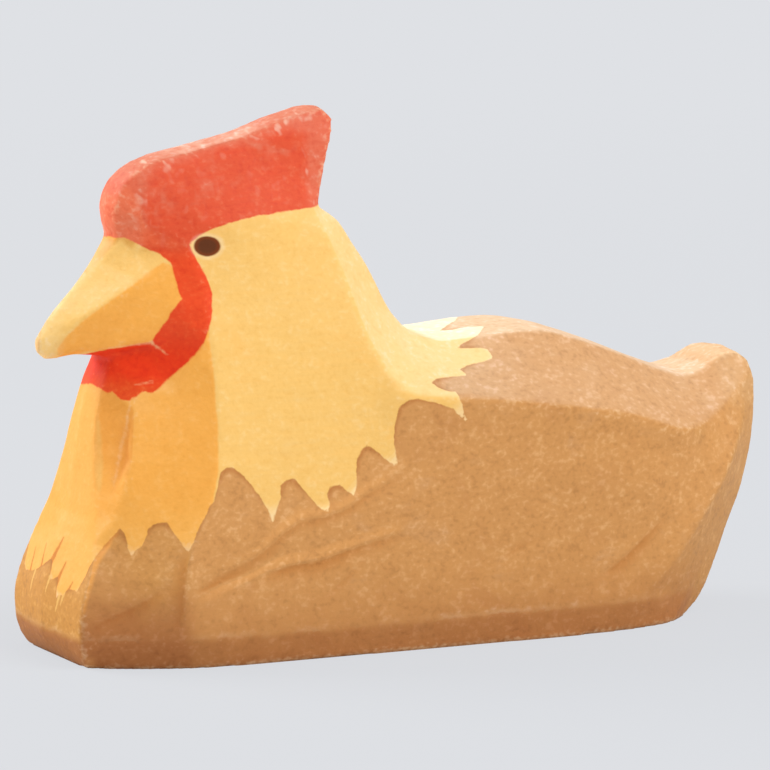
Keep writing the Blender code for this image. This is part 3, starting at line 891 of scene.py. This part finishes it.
@dataclass(frozen=True)
class KnifeCut:
    """One long shallow cut on a side, straight or slightly bent.

    The cut follows places given as x and z. It is deepest along them, where the blade
    left a step on their right, and fades out on their left. Beside the step lies a painted
    highlight on the ridge, by the share that `pale` gives. The pairs below are where a change
    starts and where it is full: of the wood's facing, of the cut's width, and of the lip.
    """

    LIP = 0.42
    END_FADE = 0.6
    FACING = (0.125, 0.75)
    EDGE = (1.0, 0.5)
    RIDGE_START = (0.4, 1.4)
    RIDGE_END = (4.0, 2.0)

    places: tuple[Spot, ...]
    width: float
    depth: float
    side: Side
    pale: float = 0.0

    def press(self, points: np.ndarray, normals: np.ndarray) -> tuple[np.ndarray, np.ndarray]:
        """What the cut does at each point.

        Args:
            points: Places on the wood in millimetres.
            normals: Directions out of the wood there.

        Returns:
            Depths in millimetres, and shares of the painted highlight on the ridge beside the step.
        """
        flat = points[:, (0, 2)]
        best = np.full(len(flat), np.inf)
        above = np.zeros(len(flat))
        fade = np.zeros(len(flat))
        count = len(self.places) - 1
        for index in range(count):
            start = np.array(self.places[index])
            run = np.array(self.places[index + 1]) - start
            share = np.clip((flat - start) @ run / (run @ run), 0.0, 1.0)
            offset = flat - start - share[:, None] * run
            reach = np.linalg.norm(offset, axis=1)
            nearer = reach < best
            best = np.where(nearer, reach, best)
            across = np.array((-run[1], run[0])) / np.linalg.norm(run)
            above = np.where(nearer, offset @ across, above)
            fade = np.where(nearer, np.sin(math.pi * (index + share) / count) ** self.END_FADE, fade)
        full = fade * ramp(normals[:, 1] * self.side.value, self.FACING)
        rise = np.clip(above / self.width, 0.0, 1.0)
        lip = np.clip(1.0 + above / self.LIP, 0.0, 1.0)
        profile = np.where(above >= 0, (1.0 - rise) ** 2, lip * lip * (3 - 2 * lip))
        edge = ramp(best / self.width, self.EDGE)
        profile = profile * np.where(above >= 0, edge, 1.0)
        off = np.where(above < 0, best, -best) / self.LIP
        ridge = ramp(off, self.RIDGE_START) * ramp(off, self.RIDGE_END)
        return self.depth * profile * full, self.pale * ridge * full


@dataclass
class CarvedHen:
    """The hen itself: one carved piece with its stains.

    Sizes are millimetres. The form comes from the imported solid, which it replaces.
    """

    UNEVEN_SEED = 0.0
    RIPPLE_SEED = 70.0
    FAR_SEEDS = (20.0, 40.0)

    mesh_step: float = 0.325
    sanding_rounds: int = 3
    sanding_pull: float = 0.5
    unevenness: float = 0.10
    uneven_size: float = 9.0
    ripple: float = 0.035
    ripple_size: float = 2.4
    cuts: tuple[KnifeCut, ...] = (
        KnifeCut(
            ((-25.8, 7.2), (-24.9, 7.4), (-23.4, 8.0), (-21.4, 8.5), (-19.4, 9.2), (-17.3, 10.4)),
            1.4, 0.16, Side.NEAR, 0.8,
        ),
        KnifeCut(
            (
                (-4.0, 11.0), (-6.1, 10.8), (-8.8, 10.2), (-10.9, 9.7), (-12.9, 9.1),
                (-15.4, 8.9), (-16.9, 8.7), (-18.6, 8.4), (-20.4, 7.7), (-23.2, 6.7),
            ),
            2.8, 0.17, Side.NEAR, 1.0,
        ),
        KnifeCut(((-8.5, 8.9), (-10.1, 7.7), (-11.8, 6.4), (-13.6, 5.2)), 2.0, 0.09, Side.NEAR),
        KnifeCut(
            (
                (-2.4, 18.6), (-5.0, 16.6), (-6.5, 15.7), (-8.7, 14.8), (-10.5, 13.7),
                (-12.7, 13.1), (-15.1, 12.9), (-16.6, 12.1), (-18.4, 10.7), (-19.9, 9.8),
                (-21.9, 9.0), (-24.4, 8.2),
            ),
            2.2, 0.12, Side.NEAR, 0.7,
        ),
        KnifeCut(
            ((23.3, 10.9), (20.8, 8.9), (18.7, 7.2), (16.7, 6.0), (14.6, 5.0)),
            2.8, 0.15, Side.NEAR, 0.25,
        ),
        KnifeCut(((4.6, 7.6), (7.0, 8.8), (9.6, 9.7)), 1.4, 0.09, Side.NEAR),
        KnifeCut(
            ((-27.3, 3.8), (-27.0, 5.5), (-27.0, 7.6), (-26.8, 9.9), (-26.4, 11.7)),
            2.6, 0.15, Side.NEAR,
        ),
        KnifeCut(
            ((-27.9, 8.1), (-29.5, 6.6), (-31.6, 5.3), (-33.3, 4.5), (-34.7, 3.6)),
            2.4, 0.13, Side.NEAR,
        ),
        KnifeCut(
            ((-31.7, 15.3), (-31.0, 17.2), (-30.2, 19.1), (-29.9, 20.8), (-29.2, 23.8)),
            1.7, 0.27, Side.NEAR,
        ),
        KnifeCut(
            ((-24.5, 6.9), (-19.0, 8.9), (-12.0, 10.2), (-3.0, 10.6)), 2.4, 0.15, Side.FAR, 0.8,
        ),
        KnifeCut(((4.0, 14.2), (-6.0, 13.6), (-14.0, 11.9)), 3.0, 0.12, Side.FAR),
        KnifeCut(((12.0, 5.4), (17.0, 7.0), (22.0, 10.4)), 2.2, 0.12, Side.FAR),
        KnifeCut(((-27.0, 3.6), (-26.8, 7.4), (-26.2, 11.2)), 2.6, 0.14, Side.FAR),
    )
    weld_reach: float = 0.005
    foot_layer: float = 0.08
    foot_fade: float = 0.8
    far_wander: float = 0.5
    far_wander_size: float = 6.0
    around_rounds: int = 20
    bend_rounds: int = 3
    belly_edge: float = 2.7
    full_hollow: float = 0.16
    # The painted shade low on the sides: how high it reaches, where it starts and is full across the
    # sides and along the breast, and its shares.
    low_shade_height: float = 9.0
    low_shade_side: Spot = (7.2, 8.0)
    low_shade_breast: Spot = (-25.4, -27.0)
    low_shade_shares: Spot = (0.62, 0.80)
    finish: Finish = Finish()

    def build(self) -> bpy.types.Object:
        """Build, carve and stain the piece.

        Returns:
            The finished object.
        """
        piece = self.rough_form()
        self.sand(piece)
        hollows = self.carve(piece)
        self.mark_stains(piece, hollows)
        piece.data.materials.clear()
        piece.data.materials.append(self.finish.material())
        for polygon in piece.data.polygons:
            polygon.use_smooth = True
        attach(piece, BODY)
        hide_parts(NODE)
        return piece

    def rough_form(self) -> bpy.types.Object:
        """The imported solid, cut into an even fine mesh.

        Returns:
            A new object.
        """
        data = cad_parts[NODE].data.copy()
        data.name = "carved_hen"
        piece = bpy.data.objects.new("carved_hen", data)
        bpy.context.scene.collection.objects.link(piece)
        weld = piece.modifiers.new("weld", "WELD")
        weld.merge_threshold = self.weld_reach * MM
        remesh = piece.modifiers.new("even", "REMESH")
        remesh.mode = "VOXEL"
        remesh.voxel_size = self.mesh_step * MM
        graph = bpy.context.evaluated_depsgraph_get()
        even = bpy.data.meshes.new_from_object(piece.evaluated_get(graph))
        solid = surface_tree(piece)
        piece.modifiers.clear()
        piece.data = even
        snapped = [tuple(solid.find_nearest(Vector(point))[0]) for point in read_points(piece)]
        write_points(piece, np.array(snapped))
        return piece

    def sand(self, piece: bpy.types.Object) -> None:
        """Round the edges as sandpaper does, and keep the foot flat.

        Args:
            piece: The object to smooth.
        """
        points = read_points(piece)
        edges = read_edges(piece)
        for _ in range(self.sanding_rounds):
            points += self.sanding_pull * (neighbour_mean(points, edges) - points)
        points[:, 2] = np.where(points[:, 2] < self.foot_layer, 0.0, points[:, 2])
        write_points(piece, points)

    def carve(self, piece: bpy.types.Object) -> np.ndarray:
        """Press the knife cuts and the unevenness of hand work into the faces.

        Args:
            piece: The object to change.

        Returns:
            How hollow each point is: 1 at the bottom of a cut and -1 on the ridge beside it.
        """
        points = read_points(piece)
        normals = read_normals(piece)
        marks = [cut.press(points, normals) for cut in self.cuts]
        hollows = sum(depth for depth, ridge in marks)
        ridges = sum(ridge for depth, ridge in marks)
        depth = hollows + self.unevenness * (0.5 + wander(points, self.uneven_size, self.UNEVEN_SEED))
        depth += self.ripple * (0.5 + wander(points, self.ripple_size, self.RIPPLE_SEED))
        depth *= np.clip(points[:, 2] / self.foot_fade, 0.0, 1.0)
        write_points(piece, points - normals * depth[:, None])
        return np.clip(hollows / self.full_hollow, 0.0, 1.0) - np.clip(ridges, 0.0, 1.0)

    def mark_stains(self, piece: bpy.types.Object, hollows: np.ndarray) -> None:
        """Store what the finish reads at each point.

        Args:
            piece: The object to mark.
            hollows: How hollow each point is, from -1 to 1.
        """
        points = read_points(piece)
        normals = read_normals(piece)
        edges = read_edges(piece)
        far = points[:, 1] > 0
        shift = [wander(points, self.far_wander_size, seed) for seed in self.FAR_SEEDS]
        flat = points[:, (0, 2)] + np.stack(shift, 1) * self.far_wander * far[:, None]
        cape = FeatherEdge(piece).depth(points)
        write_field(piece, Field.CAPE, cape)
        write_field(piece, Field.AROUND, spread((cape > 0).astype(float), edges, self.around_rounds))
        write_field(piece, Field.RED, outline_depth(flat, RED_OUTLINE))
        write_field(piece, Field.FOOT, self.belly_edge - points[:, 2])
        write_field(piece, Field.LOW_SHADE, self.painted_low_shade(points))
        write_field(piece, Field.HOLLOW, hollows)
        write_field(piece, Field.COMB, outline_depth(flat, COMB_FACE))
        write_field(piece, Field.GOLD, self.gold_depth(flat))
        write_field(piece, Field.BREAST, outline_depth(flat, BREAST_TURN))
        write_field(piece, Field.RISING, np.clip(normals[:, 2], 0.0, 1.0))
        write_field(piece, Field.FORWARD, -normals[:, 0])
        write_field(piece, Field.BEND, self.bend(points, normals, edges))

    def painted_low_shade(self, points: np.ndarray) -> np.ndarray:
        """Share of a brown painted darker as shade: low on the sides and most of all beside the
        breast.

        Args:
            points: Places on the wood.

        Returns:
            Shares, above 1 where the painted shade is deepest.
        """
        body, more = self.low_shade_shares
        low = np.clip(1.0 - points[:, 2] / self.low_shade_height, 0.0, 1.0)
        breast = ramp(points[:, 0], self.low_shade_breast)
        side = ramp(np.abs(points[:, 1]), self.low_shade_side)
        return low * side * (body + more * breast)

    def gold_depth(self, flat: np.ndarray) -> np.ndarray:
        """How far each point lies inside the deeper yellow.

        Args:
            flat: Places as x and z.

        Returns:
            Millimetres, negative outside.
        """
        return np.maximum(outline_depth(flat, BEAK_GOLD), outline_depth(flat, NECK_GOLD))

    def bend(self, points: np.ndarray, normals: np.ndarray, edges: np.ndarray) -> np.ndarray:
        """How sharply the wood turns at each point, spread a little.

        Args:
            points: Places on the wood.
            normals: Directions out of the wood there.
            edges: Pairs of neighbouring points.

        Returns:
            About 0 on faces, above 1 on edges and below 0 in grooves.
        """
        lift = ((points - neighbour_mean(points, edges)) * normals).sum(1)
        bend = spread(lift * 4.0 / self.mesh_step**2, edges, self.bend_rounds)
        return np.clip(bend, -2.0, 2.0)


class FeatherEdge:
    """The ragged edge of the yellow, a closed line round the body."""

    MIDDLE = np.array((-8.0, 0.0, 18.0))
    CROWN = np.array((-0.3, 0.0, 1.0))
    FAR_WANDER = 0.7
    FAR_RATE = 0.23
    FAR_SEED = 7
    STEP = 0.35

    def __init__(self, piece: bpy.types.Object) -> None:
        """Lay the line on the piece's surface.

        Args:
            piece: The carved piece.
        """
        # Without a seed, the noise that leads the far side astray would differ in each run.
        noise.seed_set(self.FAR_SEED)
        far = [self.mirrored(place) for place in reversed(SIDE_FEATHERS)]
        corners = [*BREAST_FEATHERS, *SIDE_FEATHERS, *BACK_FEATHERS, *far]
        tree = surface_tree(piece)
        line: list[Vector] = []
        for start, end in zip(corners, corners[1:] + corners[:1]):
            first = Vector(start)
            run = Vector(end) - first
            count = max(1, round(run.length / self.STEP))
            line.extend(tree.find_nearest(first + run * (n / count))[0] for n in range(count))
        self.line = np.array([tuple(place) for place in line])

    def mirrored(self, place: Place) -> Place:
        """A place of the near side carried to the far side, a little astray."""
        astray = noise.noise_vector(Vector(place) * self.FAR_RATE) * self.FAR_WANDER
        return (place[0] + astray.x, -place[1], place[2] + astray.z)

    def turned(self, points: np.ndarray) -> np.ndarray:
        """Points seen from inside the neck, laid out flat round the crown.

        Args:
            points: Places in space.

        Returns:
            Two coordinates each.
        """
        crown = self.CROWN / np.linalg.norm(self.CROWN)
        ahead = np.cross((0.0, 1.0, 0.0), crown)
        rays = points - self.MIDDLE
        rays = rays / np.linalg.norm(rays, axis=1)[:, None]
        fall = np.arccos(np.clip(rays @ crown, -1.0, 1.0))
        turn = np.arctan2(rays[:, 1], rays @ ahead)
        return np.stack([fall * np.cos(turn), fall * np.sin(turn)], 1)

    def depth(self, points: np.ndarray) -> np.ndarray:
        """How far each point lies inside the yellow.

        Args:
            points: Places on the wood.

        Returns:
            Millimetres, negative in the brown.
        """
        inside = within(self.turned(points), self.turned(self.line))
        reach = line_reach(points, self.line)
        return np.where(inside, reach, -reach)


def ramp(values: np.ndarray, ends: Spot) -> np.ndarray:
    """Shares that rise evenly from 0 at the first end to 1 at the second."""
    return np.clip((values - ends[0]) / (ends[1] - ends[0]), 0.0, 1.0)


def within(points: np.ndarray, ring: np.ndarray) -> np.ndarray:
    """Which points lie inside a closed flat line.

    Args:
        points: Places with two coordinates.
        ring: Corners of the line.

    Returns:
        A truth value for each point.
    """
    inside = np.zeros(len(points), bool)
    for start, end in zip(ring, np.roll(ring, -1, axis=0)):
        spans = (start[1] > points[:, 1]) != (end[1] > points[:, 1])
        rise = end[1] - start[1]
        if rise == 0:
            continue
        crossing = start[0] + (points[:, 1] - start[1]) * (end[0] - start[0]) / rise
        inside ^= spans & (points[:, 0] < crossing)
    return inside


def line_reach(points: np.ndarray, ring: np.ndarray) -> np.ndarray:
    """Distance from each point to a closed line.

    Args:
        points: Places with two or three coordinates.
        ring: Corners of the line, with as many coordinates.

    Returns:
        Distances.
    """
    best = np.full(len(points), np.inf)
    for start, end in zip(ring, np.roll(ring, -1, axis=0)):
        run = end - start
        length = max(float(run @ run), 1e-9)
        share = np.clip((points - start) @ run / length, 0.0, 1.0)
        offset = points - start - share[:, None] * run
        best = np.minimum(best, (offset * offset).sum(1))
    return np.sqrt(best)


def outline_depth(points: np.ndarray, outline: tuple[Spot, ...]) -> np.ndarray:
    """How far flat points lie inside an outline, negative outside.

    Args:
        points: Places as x and z.
        outline: Corners of the outline.

    Returns:
        Millimetres.
    """
    ring = np.array(outline)
    reach = line_reach(points, ring)
    return np.where(within(points, ring), reach, -reach)


def wander(points: np.ndarray, size: float, seed: float) -> np.ndarray:
    """A slow wave over space.

    Args:
        points: Places in millimetres.
        size: Length of its waves.
        seed: Shift that makes each wave its own.

    Returns:
        Values from about -1 to 1.
    """
    shift = Vector((seed, seed * 0.5, -seed))
    return np.array([noise.noise(Vector(point) / size + shift) for point in points])


def surface_tree(piece: bpy.types.Object) -> BVHTree:
    """The mesh's surface in millimetres, ready to find its nearest places."""
    faces = [tuple(polygon.vertices) for polygon in piece.data.polygons]
    return BVHTree.FromPolygons([Vector(point) for point in read_points(piece)], faces)


def read_points(piece: bpy.types.Object) -> np.ndarray:
    """The mesh's points in millimetres."""
    points = np.zeros(len(piece.data.vertices) * 3)
    piece.data.vertices.foreach_get("co", points)
    return points.reshape(-1, 3) / MM


def write_points(piece: bpy.types.Object, points: np.ndarray) -> None:
    """Move the mesh's points to places in millimetres."""
    piece.data.vertices.foreach_set("co", (points * MM).ravel())
    piece.data.update()


def read_normals(piece: bpy.types.Object) -> np.ndarray:
    """Directions out of the wood at the mesh's points."""
    normals = np.zeros(len(piece.data.vertices) * 3)
    piece.data.vertices.foreach_get("normal", normals)
    return normals.reshape(-1, 3)


def read_edges(piece: bpy.types.Object) -> np.ndarray:
    """The mesh's edges as pairs of point numbers."""
    edges = np.zeros(len(piece.data.edges) * 2, int)
    piece.data.edges.foreach_get("vertices", edges)
    return edges.reshape(-1, 2)


def write_field(piece: bpy.types.Object, field: Field, values: np.ndarray) -> None:
    """Store a value at every point of the mesh."""
    layer = piece.data.attributes.new(field.value, "FLOAT", "POINT")
    layer.data.foreach_set("value", values.astype(np.float32))


def neighbour_mean(values: np.ndarray, edges: np.ndarray) -> np.ndarray:
    """Mean of each point's neighbours.

    Args:
        values: One row for each point.
        edges: Pairs of point numbers.

    Returns:
        One row for each point.
    """
    ends = np.concatenate([edges[:, 0], edges[:, 1]])
    others = np.concatenate([edges[:, 1], edges[:, 0]])
    count = np.maximum(np.bincount(ends, minlength=len(values)), 1)
    columns = [
        np.bincount(ends, values[others, column], minlength=len(values)) / count
        for column in range(values.shape[1])
    ]
    return np.stack(columns, 1)


def spread(values: np.ndarray, edges: np.ndarray, rounds: int) -> np.ndarray:
    """Spread one value for each point over its neighbours.

    Args:
        values: One value for each point.
        edges: Pairs of point numbers.
        rounds: How many times it is spread.

    Returns:
        The smoother values.
    """
    for _ in range(rounds):
        values = neighbour_mean(values[:, None], edges)[:, 0]
    return values


@dataclass(frozen=True)
class Lamp:
    """A round soft lamp.

    It is turned from the near side towards the tail, raised above the table and held at a
    distance in metres, with its width in metres and its power in watts.
    """

    name: str
    turn: float
    rise: float
    reach: float
    width: float
    power: float

    def hang(self, aim: Vector) -> None:
        """Hang the lamp so that it shines at a place.

        Args:
            aim: The place, in metres.
        """
        data = bpy.data.lights.new(self.name, "AREA")
        data.shape = "DISK"
        data.size = self.width
        data.energy = self.power
        lamp = bpy.data.objects.new(self.name, data)
        bpy.context.scene.collection.objects.link(lamp)
        turn = math.radians(self.turn)
        rise = math.radians(self.rise)
        away = Vector(
            (math.sin(turn) * math.cos(rise), -math.cos(turn) * math.cos(rise), math.sin(rise))
        )
        lamp.matrix_world = looking(aim + away * self.reach, -away)


@dataclass
class Studio:
    """Pale floor and backdrop, soft lamps, and the camera."""

    backdrop: Colour = (0.738, 0.753, 0.784)
    floor_seen: Colour = (0.697, 0.712, 0.743)
    floor_tone: Colour = (0.66, 0.675, 0.70)
    fill: float = 0.60
    lamps: tuple[Lamp, ...] = (
        Lamp("key", 38.0, 50.0, 0.60, 0.40, 2.5),
        Lamp("back", 222.0, 36.0, 0.60, 0.40, 3.2),
    )
    floor_reach: float = 0.9
    fading: tuple[float, float] = (0.10, 0.42)
    shadow_share: float = 0.10
    aim: Place = (-0.912, 0.0, 22.865)
    turn: float = 25.3
    height: float = 9.2
    distance: float = 746.4
    lens: float = 374.03
    sensor: float = 36.0

    def build(self) -> None:
        """Set up the whole studio."""
        self.set_world()
        self.lay_floor()
        for lamp in self.lamps:
            lamp.hang(Vector(self.aim) * MM)
        self.place_camera()
        bpy.context.scene.view_settings.view_transform = "Standard"

    def set_world(self) -> None:
        """Even light from all round, and the backdrop's colour where it is seen."""
        world = bpy.data.worlds.new("studio")
        world.use_nodes = True
        bpy.context.scene.world = world
        graph = Graph(world.node_tree)
        seen = graph.add("ShaderNodeLightPath", output="Is Camera Ray")
        light = graph.add(
            "ShaderNodeBackground", {}, {"Color": (1.0, 1.0, 1.0), "Strength": self.fill}
        )
        shown = graph.add("ShaderNodeBackground", {}, {"Color": self.backdrop, "Strength": 1.0})
        mixed = graph.add("ShaderNodeMixShader", {}, {0: seen, 1: light, 2: shown})
        graph.add("ShaderNodeOutputWorld", {}, {"Surface": mixed})

    def lay_floor(self) -> None:
        """A wide floor that keeps a weak shadow and fades into the backdrop when seen."""
        data = bpy.data.meshes.new("floor")
        reach = self.floor_reach
        corners = [(-reach, -reach, 0), (reach, -reach, 0), (reach, reach, 0), (-reach, reach, 0)]
        data.from_pydata(corners, [], [(0, 1, 2, 3)])
        floor = bpy.data.objects.new("floor", data)
        bpy.context.scene.collection.objects.link(floor)
        material = bpy.data.materials.new("pale_floor")
        material.use_nodes = True
        graph = Graph(material.node_tree)
        matt = graph.add("ShaderNodeBsdfDiffuse", {}, {"Color": self.floor_tone})
        shown = graph.add("ShaderNodeEmission", {}, {"Color": self.floor_seen, "Strength": 1.0})
        seen = graph.add("ShaderNodeLightPath", output="Is Camera Ray")
        surface = graph.add(
            "ShaderNodeMixShader", {}, {0: seen * (1.0 - self.shadow_share), 1: matt, 2: shown}
        )
        here = graph.add("ShaderNodeTexCoord", output="Object")
        away = graph.vector("DISTANCE", here, (0.0, 0.0, 0.0), "Value")
        gone = graph.add("ShaderNodeBsdfTransparent")
        fade = away.step(*self.fading) * seen
        surface = graph.add("ShaderNodeMixShader", {}, {0: fade, 1: surface, 2: gone})
        graph.add("ShaderNodeOutputMaterial", {}, {"Surface": surface})
        data.materials.append(material)

    def place_camera(self) -> None:
        """The camera at the photograph's angle."""
        turn = math.radians(self.turn)
        height = math.radians(self.height)
        ahead = Vector(
            (math.sin(turn) * math.cos(height), math.cos(turn) * math.cos(height), -math.sin(height))
        )
        data = bpy.data.cameras.new("camera")
        data.lens = self.lens
        data.sensor_width = self.sensor
        data.sensor_fit = "HORIZONTAL"
        data.clip_start = 0.05
        data.clip_end = 20.0
        camera = bpy.data.objects.new("camera", data)
        bpy.context.scene.collection.objects.link(camera)
        aim = Vector(self.aim) * MM
        camera.matrix_world = looking(aim - ahead * self.distance * MM, ahead)
        bpy.context.scene.camera = camera


def looking(place: Vector, ahead: Vector) -> Matrix:
    """Where an object stands that looks along a direction, upright.

    Args:
        place: Its place.
        ahead: The direction that it looks in.

    Returns:
        Its world matrix.
    """
    turned = ahead.to_track_quat("-Z", "Y")
    return Matrix.Translation(place) @ turned.to_matrix().to_4x4()


def main() -> None:
    """Build the hen and its studio, and report each piece."""
    logging.basicConfig(level=logging.INFO, format="%(name)s: %(message)s")
    piece = CarvedHen().build()
    log.info("%s: %d faces", piece.name, len(piece.data.polygons))
    Studio().build()
    log.info("studio ready")


if __name__ == "__main__":
    main()
